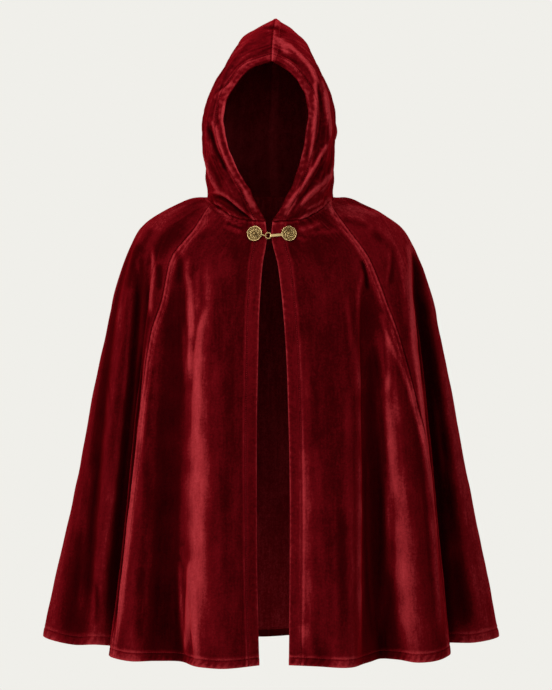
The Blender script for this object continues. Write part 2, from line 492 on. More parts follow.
# Creases placed by hand, one to a line: its width and height in millimetres, how much lighter or darker the
# brushed nap is along it, and then its path as pairs of millimetres across and up the view
CREASES = {
    "front": crease_rows("""
# Hood, the wearer's right
6 4 -0.15: -116 147, -103 131, -92 99, -78 63, -64 33, -43 5, -23 -22
5.5 -3.5 -1.6: -112 127, -105 108, -98 85, -87 63, -78 44
4 -2 -0.94: -92 170, -96 149, -94 126
5 2 0.62: -66 206, -84 191, -103 175
4 -2 0.11: -73 207, -87 195, -101 186
5 2.5 0.49: -116 88, -110 56, -101 28, -89 6
9 -2.5 -0.01: -103 81, -94 49, -82 21
4.5 3 0.55: -112 13, -89 8, -69 -6, -46 -27, -23 -44
4.5 -3.5 -1.6: -107 6, -84 -3, -60 -22, -37 -38
4 1.5 0.87: -105 -4, -89 -15, -71 -31
4 -2 0.4: -76 47, -68 24, -53 -1
5 1.5 -0.21: -5 273, -44 238, -73 199
6 -1.5 0.61: -16 291, -55 248, -85 199
5 1.5 -0.95: -28 295, -64 248, -92 199
5 1.5 -0.01: -114 138, -116 108, -116 72
5 1 1.4: -82 170, -84 126, -71 81, -50 31
# Hood, the wearer's left
8 -3.5 0.67: 18 259, 39 247, 55 225, 71 195
7 3 1.13: 23 282, 48 259, 66 238, 78 213, 80 184
4 -1.5 -0.23: 36 275, 57 254, 75 231
5.5 4 0.84: 78 206, 80 158, 77 124, 73 90, 68 63
9 -4 0.45: 91 191, 91 152, 89 113, 78 81
4 -2 0.87: 73 142, 68 115, 61 95
6 2 1.4: 96 195, 103 149, 109 99
5.5 3.5 1.4: 105 101, 91 79, 75 49, 59 24, 39 -4, 21 -27
6 -3 -0.16: 98 67, 82 37, 62 6, 45 -15
6.5 2.5 1.4: 107 49, 91 26, 68 3, 50 -17
5 -2.5 1.4: 105 31, 89 10, 66 -10, 43 -29
5 2 1.4: 107 8, 96 -10, 71 -27, 45 -42
11 0.8 1.26: 14 291, 21 273, 27 257
6 0.8 -0.46: 45 206, 57 179, 62 152
6 0.8 -1.6: 52 63, 43 37, 29 6
6 0.8 0: 84 277, 91 241, 98 206
6 -1.5 -1.07: -16 314, 0 312, 18 314
# Body, the wearer's right and then the left
9 3.5 0.19: -151 -103, -149 -151, -146 -204, -144 -266, -142 -337
9 3 0.53: -115 -195, -124 -239, -128 -278, -130 -364, -133 -452
30 2.5 1.19: -137 -186, -135 -293, -135 -399, -135 -506, -137 -613, -139 -720, -140 -800
9 3 1.4: -138 -648, -144 -737, -149 -817
8 3 1.09: -138 -657, -135 -737, -128 -829
4 -2.5 1.26: -140 -719, -140 -781, -138 -829
34 -6 0.02: -165 -119, -172 -204, -179 -328, -186 -452, -192 -577, -195 -719, -192 -817
22 0 0.51: -99 -239, -103 -399, -108 -577, -110 -719, -108 -817
16 -1.5 0.02: -69 -222, -73 -399, -76 -577, -76 -790
7 3 1.12: -215 -85, -213 -119, -215 -168, -217 -218
8 -2 -0.8: -202 -119, -201 -168
12 4 -0.62: -239 -70, -248 -117, -256 -185, -263 -266, -275 -329
24 3 -0.91: -268 -275, -279 -383, -292 -491, -301 -599, -302 -689, -310 -779
12 -7 -1.41: -236 -82, -239 -131, -243 -203, -248 -275, -254 -365, -261 -455, -268 -545, -275 -653, -283 -790
24 2.5 0.27: -211 -266, -220 -355, -227 -426, -238 -515, -249 -595, -259 -683, -270 -790
5 -1.5 -0.14: -295 -329, -290 -365, -283 -419
7 1.5 -1.24: -317 -689, -313 -725, -315 -770
8 1.5 -0.64: -182 -14, -146 -5, -117 -1
7 2 0.18: -50 -49, -69 -46, -87 -35
7 1.5 0.34: -50 -65, -69 -58, -87 -51
4 -1.5 -0.3: -50 -56, -67 -53, -82 -44
5 -2.5 -0.45: -110 -1, -101 -14, -87 -19, -74 -30
5 2 -1.19: -114 -8, -103 -23, -92 -32
7 3 -0.06: 169 -129, 160 -159, 155 -204, 153 -275, 155 -364
8 3.5 0.8: 153 -257, 155 -452, 155 -630, 155 -825
8 1.5 0.22: 135 -168, 139 -222, 146 -275, 148 -364
26 -5 0.66: 174 -142, 174 -239, 176 -364, 179 -506, 183 -648, 188 -790
6 -3 -1.6: 164 -111, 171 -142, 174 -168
14 3.5 0.02: 195 -230, 201 -293, 208 -364, 215 -435, 222 -541
28 3 1.15: 206 -310, 213 -417, 222 -541, 230 -648, 238 -740, 246 -825
14 0.5 0.68: 66 -302, 62 -417, 62 -541, 62 -666, 64 -790
22 -1 -0.02: 105 -239, 108 -399, 105 -577, 105 -790
8 1 -0.4: 204 -90, 203 -129, 201 -172
6 2.5 -0.18: 227 -73, 234 -99, 245 -135, 248 -158
9 -1 -0.8: 218 -88, 218 -127, 214 -158
7 2 -0.17: 236 -113, 241 -149, 243 -185
8 3 1.4: 247 -77, 252 -109, 257 -167, 261 -221, 266 -275
9 4 0.41: 259 -257, 267 -355, 273 -435, 283 -541, 292 -648, 304 -799
16 -6 -0.19: 258 -95, 265 -185, 277 -275, 287 -365, 297 -473, 308 -599, 320 -725, 326 -799
12 2 0.19: 254 -239, 251 -310, 258 -381
7 2 0.59: 133 -12, 164 -21, 200 -30
6 -2 -0.62: 135 -3, 160 -9, 189 -18
7 2 1.02: 46 -60, 68 -55, 91 -46
7 1.5 0.32: 50 -65, 87 -64, 126 -60
5 1.5 0.54: 46 -76, 66 -78
4 -2 1.27: 52 -53, 69 -48, 84 -39
4 -2.5 1.4: 100 -1, 98 -17, 103 -32
5 2 1.36: 107 4, 107 -14, 114 -30
30 1 0.65: -132 -159, -128 -257, -126 -364, -128 -488, -132 -613, -133 -756
14 0.5 0.89: -153 -430, -155 -613, -155 -720, -157 -805
8 1 1.25: -144 -141, -141 -186, -139 -257
44 0 0.92: 74 -430, 74 -560, 75 -690, 77 -810
8 -1 -1.6: 167 -435, 169 -578, 173 -720, 180 -809
14 -0.5 -0.26: 119 -328, 123 -471, 125 -613, 126 -756
7 0.5 0.39: 214 -186, 219 -275, 223 -364, 230 -417
7 2 0.82: -215 -222, -228 -328, -237 -417, -247 -524, -256 -631, -267 -738, -274 -809
12 0 -0.91: -212 -328, -219 -435, -222 -542, -228 -649, -233 -738
10 0 -0.49: -262 -97, -263 -168, -262 -239, -272 -328, -283 -435, -290 -542
14 0 0.24: -295 -578, -299 -684, -308 -791
26 0 -0.84: 328 -649, 340 -720, 351 -784
9 1 0.33: 233 -76, 235 -115, 240 -168, 246 -239
5 -1.5 -0.43: -116 10, -91 -8, -62 -26, -44 -36
26 0 -0.18: -82 -435, -84 -578, -80 -720, -76 -800
24 0 -1.05: -117 -13, -148 -31, -183 -65, -212 -111
12 0 -1.39: -240 -79, -251 -118, -260 -168
12 0 -1.6: 258 -97, 272 -150, 283 -222
7 -1 -1.46: -5 316, 9 309, 27 304
22 -3 -0.91: 272 -168, 287 -257, 301 -364, 313 -453, 324 -542, 333 -631
10 -2 -0.23: -258 -364, -267 -471, -276 -578, -286 -684, -294 -773
14 0 0.87: -117 -118, -112 -186, -112 -275
40 0 0.48: -126 -70, -100 -106, -82 -150
30 0 0.2: 52 -106, 70 -150, 62 -222
6 0.8 0.79: 215 -88, 214 -124, 208 -159
8 0.5 0.15: 123 -17, 144 -29, 176 -40
6 0.8 0.95: -242 -106, -240 -159, -246 -222
6 0.8 0.66: -219 -118, -221 -168
5 1 1.4: 61 -22, 80 -13, 96 -1
5 0.8 0.97: -23 -29, -37 -11, -50 10
6 0.8 1.4: 23 -33, 36 -19, 50 -1
9 -4.5 -1.6: -231 -266, -240 -376, -257 -542, -274 -700, -284 -791
15 -3 -0.89: -247 -293, -256 -376, -273 -542, -289 -700, -301 -791
6 1.5 1.4: 246 -106, 253 -168, 258 -257, 265 -337, 280 -435, 294 -560, 303 -649
6 0.8 0.82: 196 -218, 215 -266, 237 -319, 255 -373, 272 -435, 283 -485
5 -0.5 -0.58: 201 -191, 223 -248, 244 -302, 253 -355
9 0.8 1.35: 207 -239, 212 -293, 210 -355
9 -0.8 -0.57: 187 -266, 198 -346, 201 -417, 207 -488
16 -0.5 -1.13: 126 -551, 128 -675, 128 -782, 128 -823
8 0.8 1.4: -164 -649, -160 -720, -155 -782, -149 -821
14 -0.5 -0.7: -233 -659, -233 -729, -235 -800
26 -0.5 -0.75: -352 -599, -365 -699, -377 -800
24 -1 -1.48: 317 -488, 329 -578, 344 -684, 360 -791
8 0.5 0.67: -228 -355, -228 -400, -233 -444
18 0.5 0.96: 18 295, 25 273, 34 252
12 0.5 0.04: -23 270, -44 245, -62 220
6 1 0.76: 240 -93, 248 -168, 253 -257, 260 -337
12 -1 -1.6: 278 -186, 296 -293, 312 -400, 328 -506
5 0.5 0.49: 61 149, 59 117, 54 85
5 0.5 1.4: -76 131, -68 95, -55 63
12 0.8 0.82: -326 -471, -335 -578, -342 -684, -347 -773
14 0.8 1.1: 208 -506, 208 -613, 203 -702, 194 -791
12 0.5 0.26: 306 -542, 317 -649, 329 -756
14 0.5 0.92: 57 -756, 64 -791, 73 -821
16 0 -0.95: -215 -54, -228 -77, -237 -100
12 0 -0.93: 180 -61, 205 -77, 219 -97
8 -1 -0.65: 128 -38, 153 -44, 176 -54
10 0.6 0.78: 87 213, 98 188, 105 156
5 0 -1.12: -34 229, -16 238, 7 240, 29 229
9 -0.8 -0.99: -169 -93, -165 -124, -167 -159
8 0.8 0.69: -133 -132, -132 -168, -130 -207
8 0.8 0.74: -157 -222, -155 -275, -151 -337
10 -0.5 -0.42: -212 -302, -214 -337, -217 -373
14 0 0.62: 57 -239, 59 -293, 62 -364
9 0.5 0.95: 198 -207, 203 -225, 210 -246
6 0.8 0.57: 61 -8, 43 -24, 27 -36
6 0 -0.56: -114 149, -112 126, -107 102
10 0 0.82: -158 -622, -157 -640, -153 -658
"""),
    "back": crease_rows("""
# Body
26 2 0.8: -168 -110, -205 -330, -238 -560, -264 -800
20 -3 -1: -150 -120, -170 -340, -186 -570, -197 -815
30 2.5 0.9: -112 -96, -117 -330, -121 -570, -116 -815
18 -2.3 -0.3: -100 -420, -96 -600, -88 -810
21 1.7 0.25: -48 -150, -62 -350, -66 -560, -58 -700
26 -3 -1: 2 -90, -6 -330, -16 -580, -23 -815
18 1.7 0.25: 24 -250, 18 -440, 22 -640
28 2.5 0.8: 92 -100, 84 -330, 76 -570, 70 -815
16 -1.7 -0.25: 64 -500, 50 -660, 46 -800
22 -3 -1: 145 -125, 150 -330, 154 -560, 159 -810
26 2 0.8: 168 -112, 194 -330, 216 -560, 238 -800
14 2.3 0.25: -40 -24, -52 -60, -72 -110
12 -2.1 -0.3: -16 -26, -20 -70, -34 -140
14 2.3 0.25: 30 -24, 40 -66, 58 -122
12 -2.1 -0.25: 52 -20, 74 -58, 104 -92
14 -2 -0.5: -190 -96, -226 -200, -252 -330
14 2 0.5: 196 -100, 230 -220, 256 -360
# Hood
16 3.4 0.3: -88 40, -62 66, -26 84, -8 88
14 -3.4 -0.3: -92 62, -66 90, -34 108, -6 112
16 3.4 0.25: 90 34, 60 58, 30 70, 6 72
14 -3.4 -0.3: 96 84, 70 104, 36 122, 8 126
10 2.3 0.25: -60 12, -50 36, -44 62
9 -2.3 -0.25: -24 8, -22 34, -18 56
10 2.3 0.25: 26 8, 30 34, 28 60
9 -2.3 -0.25: 64 12, 58 34, 46 54
16 2.9 0.3: -14 300, -40 262, -58 214, -64 168
12 -2.3 -0.25: -10 270, -28 228, -36 180
16 2.9 0.25: 14 296, 36 254, 48 200, 50 150
14 -2.9 -0.3: 70 226, 80 180, 82 136
"""),
    "left": crease_rows("""
# Body
20 -2 -0.6: -46 -90, -58 -300, -66 -540, -64 -790
24 2.5 0.3: -22 -60, -26 -300, -20 -550, -6 -800
20 -3 -0.9: 14 -70, 28 -300, 44 -560, 58 -800
22 2.5 0.8: 34 -80, 62 -300, 88 -560, 108 -790
16 -2.5 -0.8: 50 -110, 84 -320, 116 -560, 142 -790
18 2.3 0.25: -8 -30, -14 -120, -12 -220
14 -1.7 -0.25: 10 -36, 12 -110, 8 -190
14 2 0.5: 72 -130, 108 -330, 140 -560
16 -1.7 -0.25: -6 -420, 2 -600, 8 -790
# Hood
18 4 0.4: -84 6, -70 60, -40 110, 6 140, 60 150
14 -3.4 -0.4: -60 8, -44 56, -10 92, 40 110
14 3.4 0.3: -30 22, -8 54, 34 74, 84 78
12 -2.9 -0.35: 10 28, 40 44, 80 52, 112 48
18 3.4 0.3: -80 250, -56 200, -34 150, -24 96
14 -2.9 -0.3: -60 270, -34 226, -10 190
16 2.9 0.25: -20 300, 20 270, 70 250, 112 252
12 -2.3 -0.25: 10 326, 52 304, 98 296
16 -2.9 -0.25: 116 226, 126 180, 122 130
"""),
    "right": crease_rows("""
# Body
14 -2 -0.6: -60 -60, -96 -280, -120 -540, -128 -780
16 2 0.6: -30 -60, -50 -300, -76 -560, -92 -800
18 -2.5 -0.8: -6 -50, -30 -300, -54 -570, -72 -800
26 2.5 0.4: 14 -50, 8 -300, 0 -560, -8 -800
18 -3 -0.9: 24 -80, 32 -310, 42 -560, 50 -800
22 2.5 0.8: 32 -70, 52 -300, 74 -560, 94 -800
16 -2.5 -0.8: 46 -90, 78 -310, 108 -560, 132 -790
16 2.3 0.25: -2 -24, 4 -100, 2 -200
14 -1.7 -0.25: 16 -30, 20 -120, 18 -210
18 -1.7 -0.25: 8 -430, 16 -600, 20 -790
# Hood
18 4 0.4: -90 4, -74 62, -38 104, 16 126, 70 128
14 -3.4 -0.4: -62 10, -40 50, 0 78, 52 88
14 3.4 0.3: -24 24, 4 48, 44 60, 92 58
16 3.4 0.3: -84 240, -66 190, -48 150, -40 104
14 -2.9 -0.3: -52 286, -30 236, 0 200
16 2.9 0.25: -16 306, 30 286, 84 270, 118 262
18 -2.9 -0.25: 0 170, 48 176, 100 168
16 -2.9 -0.25: 120 214, 128 168, 122 120
"""),
}
# For each view: the two axes across and up it, and the direction that the cloth seen there faces
VIEWS = {
    "front": (0, 2, (0, -1, 0)),
    "back": (0, 2, (0, 1, 0)),
    "left": (1, 2, (1, 0, 0)),
    "right": (1, 2, (-1, 0, 0)),
}


def hood_neck_bearings(side, shares):
    """Bearings round the neck seam of places along a hood half's foot."""
    bearings = smooth(shares, HOOD_RIBS["share"], HOOD_RIBS["bearing"])
    right, left = edge_bearings(0, ring_sizes(0))
    front = right if side < 0 else 360 - left
    bearings = front + (bearings - HOOD_RIBS["bearing"][0]) * (180 - front) / (180 - HOOD_RIBS["bearing"][0])
    return bearings if side < 0 else 360 - bearings


def hood_net(side):
    """The hood half's ribs as points, with the other half's nearest rib after its last."""
    feet = ring_point(hood_neck_bearings(side, HOOD_RIBS["share"]), 0, ring_sizes(0))
    x, y, z = (np.stack([sizes[name] for name in RIB_NAMES], axis=1) for sizes in (HOOD_X, HOOD_Y, HOOD_Z))
    if side > 0:
        x[0] += LEFT_FACE_X
    net = np.concatenate([feet[:, None], np.stack([side * x, y, z], axis=-1)], axis=1)
    return np.concatenate([net, net[-2:-1] * (-1, 1, 1)])


HOOD_NETS = {side: hood_net(side) for side in (-1, 1)}
# The ribs' shares, with the other half's nearest rib after the last
HOOD_KNOTS = np.append(HOOD_RIBS["share"], 2 - HOOD_RIBS["share"][-2])


def hood_points(side, share, height):
    """Points of one hood half: share runs from the face to the back, height from the neck to the crown."""
    across = smooth(share, HOOD_KNOTS, np.eye(len(HOOD_KNOTS)))
    up = smooth(height, RIB_HEIGHTS, np.eye(len(RIB_HEIGHTS)))
    return np.einsum("...a,...b,abk->...k", across, up, HOOD_NETS[side])


def hood_frame(side, share, height):
    """Points and outward normals of one hood half, and unit vectors along and up it."""
    step = 1e-4
    points = hood_points(side, share, height)
    back, front = np.clip(share + step, 0, 1), np.clip(share - step, 0, 1)
    top, bottom = np.clip(height + step, 0, 1), np.clip(height - step, 0, 1)
    along = hood_points(side, back, height) - hood_points(side, front, height)
    up = hood_points(side, share, top) - hood_points(side, share, bottom)
    return points, unit(np.cross(up, along)) * -side, unit(along), unit(up)


def neck_line(side):
    """The neck seam under one hood half: bearings, points, and the direction in which both walls end there."""
    shares = np.linspace(0, 1, 121)
    bearings = hood_neck_bearings(side, shares)
    points, hood_normals, _, _ = hood_frame(side, shares, np.zeros(len(shares)))
    places = np.array([place_of_bearing(0, b) for b in bearings])
    body_normals = body_frame(0, places)[1]
    mitre = unit(hood_normals + body_normals)
    mitre /= np.sum(mitre * body_normals, axis=1, keepdims=True)
    order = slice(None, None, -side)
    return bearings[order], points[order], mitre[order], shares[order]


NECK_SEAMS = {side: neck_line(side) for side in (-1, 1)}


def at_neck(bearings, which):
    """The neck seam's points (1) or end directions (2) at these bearings."""
    right, left = NECK_SEAMS[-1], NECK_SEAMS[1]
    known = np.concatenate([right[0], left[0][1:]])
    values = np.concatenate([right[which], left[which][1:]])
    return read_at(bearings, known, values)


def sway(z):
    """How far the cape leans to its left at this height."""
    return smooth(z, SWAY["z"], SWAY["x"])


def spread(first, last, first_rate, last_rate, near_first, near_last, count, lean=1.0):
    """Places from first to last at set distances from both ends and evenly in between, and those distances.

    The rates are metres of cloth for one unit of place. Each may be an array, one for each row. A lean above 1
    sets the places closer together near the first end.
    """
    given = map(np.atleast_1d, (first, last, first_rate, last_rate))
    first, last, first_rate, last_rate = (values[:, None] for values in np.broadcast_arrays(*given))
    width = last - first

    def beside(distances, rate):
        """The set distances as places, drawn together where they would take up nearly half of the width."""
        return distances * np.minimum(1, END_SHARE * width * rate / distances[-1]) / rate

    begin = first + beside(near_first, first_rate)
    end = (last - beside(near_last, last_rate))[:, ::-1]
    inside = np.linspace(0, 1, count + 1)[1:-1] ** lean
    middle = begin[:, -1:] + (end[:, :1] - begin[:, -1:]) * inside
    places = np.concatenate([begin, middle, end], axis=1)
    return places, (places - first) * first_rate, (last - places) * last_rate


def trim(kind, distance):
    """Height of the cloth over its middle surface, and its nap's tone, so far from an edge or a seam."""
    heights, tones = np.array(TRIMS[kind]) / 1000, np.array(NAP_TRIMS[kind])
    return np.stack([np.interp(distance, heights[:, 0], heights[:, 1]),
                     np.interp(distance, tones[:, 0] / 1000, tones[:, 1])])


def puckers(kind, distance, way, points, turn=1):
    """Small uneven ripples of cloth gathered by stitches, at a distance from an edge and some way along it."""
    reach, pitch, slant, strength = PUCKERS[kind]
    inside = np.clip(1 - distance / reach, 0, 1) * np.clip(distance / 0.002, 0, 1)
    phase = 2 * math.pi * (way + turn * slant * distance) / pitch + 2.4 * waves(points, 0.05, 11)
    return strength * np.sin(phase) * np.sqrt(inside) * (0.6 + 0.4 * waves(points, 0.09, 12))


def waves(points, length, seed, stretch=1):
    """A soft uneven field from about -1 to 1, with waves of about this length, drawn out upwards."""
    rng = np.random.default_rng(seed)
    total = np.zeros(points.shape[:-1])
    for _ in range(9):
        direction = rng.normal(size=3)
        direction *= 2 * math.pi / (length * rng.uniform(0.7, 1.6)) / np.linalg.norm(direction)
        direction[2] /= stretch
        total += np.sin(points @ direction + rng.uniform(0, 2 * math.pi))
    return total / 4


def crease_fields(points, normals):
    """Height and tone that the creases placed by hand give the cloth at these points."""
    height = np.zeros(points.shape[:-1])
    tone = np.zeros(points.shape[:-1])
    for view, (across, up, facing) in VIEWS.items():
        seen = np.clip((normals @ np.array(facing, float) - SEEN_FROM) / SEEN_EASE, 0, 1)
        for number, (width, depth, light, line) in enumerate(CREASES[view]):
            line, width = line / 1000, width / 1000
            low, high = line.min(axis=0) - width * CREASE_REACH, line.max(axis=0) + width * CREASE_REACH
            x, z = points[..., across], points[..., up]
            near = (x > low[0]) & (x < high[0]) & (z > low[1]) & (z < high[1]) & (seen > 0)
            if not near.any():
                continue
            knots = way_along(line)
            steps = np.linspace(0, knots[-1], CREASE_STEPS * len(line))
            path = smooth(steps, knots, line)
            place = np.stack([x[near], z[near]], axis=-1)
            best = np.full(len(place), np.inf)
            where = np.zeros(len(place))
            for a, b, begin, end in zip(path, path[1:], steps, steps[1:]):
                span = b - a
                t = np.clip((place - a) @ span / (span @ span), 0, 1)
                gap = np.linalg.norm(place - a - t[:, None] * span, axis=1)
                closer = gap < best
                best[closer] = gap[closer]
                where[closer] = (begin + t * (end - begin))[closer]
            share = where / knots[-1]
            uneven = 1 + 0.14 * np.sin(where * 60 + number * 1.7) * np.sin(where * 23 + number)
            ends = np.clip(share / CREASE_END, 0, 1) * np.clip((1 - share) / CREASE_END, 0, 1)
            ends = ends * (2 - ends)
            body = np.clip(1 - (best / width) ** 2, 0, 1) ** 2
            body *= ends * uneven * seen[near]
            height[near] += body * depth / 1000
            tone[near] += body * light
    return height, tone


def blurred(values, rows, columns):
    """Averages over a window of this many rows and columns each way, repeated once."""
    for _ in range(2):
        for axis, reach in ((0, rows), (1, columns)):
            padded = np.concatenate([np.repeat(values.take([0], axis), reach, axis), values,
                                     np.repeat(values.take([-1], axis), reach, axis)], axis)
            total = np.cumsum(padded, axis)
            total = np.concatenate([np.zeros_like(total.take([0], axis)), total], axis)
            size, width = values.shape[axis], 2 * reach + 1
            values = (total.take(range(width, width + size), axis) - total.take(range(size), axis)) / width
    return values


def new_mesh(name, vertices, faces):
    """A mesh of these vertices and faces, with all its faces turned outwards."""
    mesh = bpy.data.meshes.new(name)
    mesh.from_pydata(vertices, [], faces)
    shape = bmesh.new()
    shape.from_mesh(mesh)
    finish_shape(shape, mesh)
    return mesh


def finish_shape(shape, mesh):
    """Turns a shape's faces outwards and puts it into the mesh."""
    bmesh.ops.recalc_face_normals(shape, faces=shape.faces)
    shape.to_mesh(mesh)
    shape.free()


def set_nap(mesh, values):
    """Gives each vertex the number that its material reads as the nap's tone, or as the brass's polish."""
    mesh.attributes.new("nap", "FLOAT", "POINT").data.foreach_set("value", np.asarray(values, np.float32))


def new_piece(name, mesh, material):
    """Puts a mesh in the scene as a smoothly shaded piece on the cape's one body."""
    mesh.materials.append(material)
    mesh.shade_smooth()
    piece = bpy.data.objects.new(name, mesh)
    bpy.context.scene.collection.objects.link(piece)
    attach(piece, "root")
    return piece


def cloth_piece(name, points, normals, trims, thickness, cloth, under_tone, material):
    """One panel of cloth as a closed thin shell with its creases. Returns the piece and its outer grid."""
    points = points.copy()
    points[..., 0] += sway(points[..., 2])
    height, tone = crease_fields(points, normals)
    tone = tone + trims[1]
    soft = sum(size * waves(points, length, seed, stretch) for size, length, seed, stretch in SOFT_WAVES)
    # The crushed ridges begin at the shoulders and are full on the hood, and fade away from the front
    fine = np.clip((points[..., 2] + 0.10) / 0.12, 0, 1) * np.clip(1 - (points[..., 1] + 0.07) / 0.12, 0.3, 1)
    drawn = np.stack([cloth[..., 0], 0 * cloth[..., 0], cloth[..., 1]], axis=-1)
    ridges = 0.55 - np.abs(waves(drawn, 0.019, 7, 6)) + 0.30 * waves(points, 0.011, 8)
    height = height + soft + trims[0] + RIDGE_HEIGHT * fine * ridges
    tone = tone + RIDGE_TONE * fine * ridges
    outer = points + normals * (height + WALL / 2 * thickness)[..., None]
    inner = points + normals * (height - WALL / 2 * thickness)[..., None]
    surface = points + normals * height[..., None]
    crest = np.sum((surface - blurred(surface, 7, 7)) * normals, axis=-1) / CREST_HEIGHT
    tone = np.clip(NAP_TONE + CREASE_TONE * tone + CREST_TONE * np.clip(crest, -1.5, 1.5), 0, 1)
    rows, columns = outer.shape[:2]
    under = rows * columns
    corner = (np.arange(rows - 1)[:, None] * columns + np.arange(columns - 1)).reshape(-1)
    quads = np.stack([corner, corner + columns, corner + columns + 1, corner + 1], axis=1)
    # The outer grid's corners in order round its four sides, which are joined to the inner grid's
    rim = list(range(columns)) + [r * columns + columns - 1 for r in range(1, rows)]
    rim += [(rows - 1) * columns + c for c in range(columns - 2, -1, -1)]
    rim += [r * columns for r in range(rows - 2, 0, -1)]
    rim = np.array(rim)
    after = np.roll(rim, -1)
    sides = np.stack([rim, after, under + after, under + rim], axis=1)
    faces = np.concatenate([quads, under + quads[:, ::-1], sides])
    vertices = np.concatenate([outer.reshape(-1, 3), inner.reshape(-1, 3)])
    mesh = new_mesh(name, vertices, faces.tolist())
    set_nap(mesh, np.stack([tone, np.broadcast_to(under_tone, tone.shape)]).reshape(-1))
    places = np.zeros((len(vertices), 3), np.float32)
    places[:, :2] = np.tile(cloth.reshape(-1, 2), (2, 1))
    mesh.attributes.new("cloth", "FLOAT_VECTOR", "POINT").data.foreach_set("vector", places.reshape(-1))
    return new_piece(name, mesh, material), outer, normals


def rim_thickness(*distances):
    """The share of the wall's full thickness at these distances from its edges, so that edges are rounded."""
    nearest = np.min(np.broadcast_arrays(*distances), axis=0)
    inwards = np.clip(nearest / RIM_WIDTH, 0, 1)
    return RIM_SHARE + (1 - RIM_SHARE) * np.sqrt(np.clip(1 - (1 - inwards) ** 2, 0, 1))


def body_panel(name, start, end, start_trim, end_trim, material):
    """One panel of the body with its seams and edges, and how far its places are from three of its sides."""
    count = int(CLOTH_LENGTH / DOWN_STEP)
    falls, from_neck, from_hem = spread(0, 1, CLOTH_LENGTH, CLOTH_LENGTH, LINES["neck"], LINES["hem"], count)
    falls, from_neck, from_hem = falls[0], from_neck[0], from_hem[0]
    first = np.array([seam_place(start, f) for f in falls])
    last = np.array([seam_place(end, f) for f in falls])
    rates = []
    for f, a, b in zip(falls, first, last):
        ends = body_points(f, np.array([a, a + PROBE, b - PROBE, b]))
        rates.append(np.linalg.norm(ends[1::2] - ends[::2], axis=1) / PROBE)
    count = int((last[-1] - first[-1]) / CLOTH_STEP)
    places, from_first, from_last = spread(
        first, last, *np.transpose(rates), LINES[start_trim], LINES[end_trim], count)
    points, normals = [], []
    for f, row in zip(falls, places):
        p, n, along, _ = body_frame(f, row)
        if f < NECK_BLEND:
            share = (1 - f / NECK_BLEND) ** 2
            bearings = bearings_at(0, row, ring_sizes(0))
            p = p + (at_neck(bearings, 1) - body_points(0, row)) * share
            if f == 0:
                n = at_neck(bearings, 2)
        if start != "right_edge":
            p[0] -= along[0] * SEAM_LAP
        if end != "left_edge":
            p[-1] += along[-1] * SEAM_LAP
        points.append(p)
        normals.append(n)
    from_neck, from_hem = from_neck[:, None], from_hem[:, None]
    down = np.broadcast_to((falls * CLOTH_LENGTH)[:, None], places.shape)
    cloth = np.stack([places, down], axis=-1)
    points, normals = np.array(points), np.array(normals)
    hem = trim("hem", from_hem)
    if start_trim == "plain_seam":
        hem[1] *= 0.6  # the side panels' hem is in shadow
    trims = hem + trim("neck", from_neck)
    ripple = puckers("hem", from_hem, places, points) + puckers("neck", from_neck, places, points)
    for kind, distance, turn in ((start_trim, from_first, 1), (end_trim, from_last, -1)):
        beside = trim(kind, distance)
        if "seam" in kind:  # a seam's lighter line fades out towards the neck
            beside[1] *= np.clip(0.3 + (from_neck - 0.005) / 0.06, 0.3, 1)
        if kind in STITCH_LINES:
            ripple = ripple + puckers("seam", distance, down, points, turn)
        trims = trims + beside
    trims += np.stack([PUCKER_HEIGHT * ripple, BODY_PUCKER_TONE * ripple])
    thickness = rim_thickness(from_first, from_last, from_hem, from_neck + RIM_WIDTH)
    lining = 0.72 - 0.34 * (from_hem < 0.014)
    piece, outer, normals = cloth_piece(name, points, normals, trims, thickness, cloth, lining, material)
    return piece, outer, normals, from_first, from_last, from_hem[:, 0]


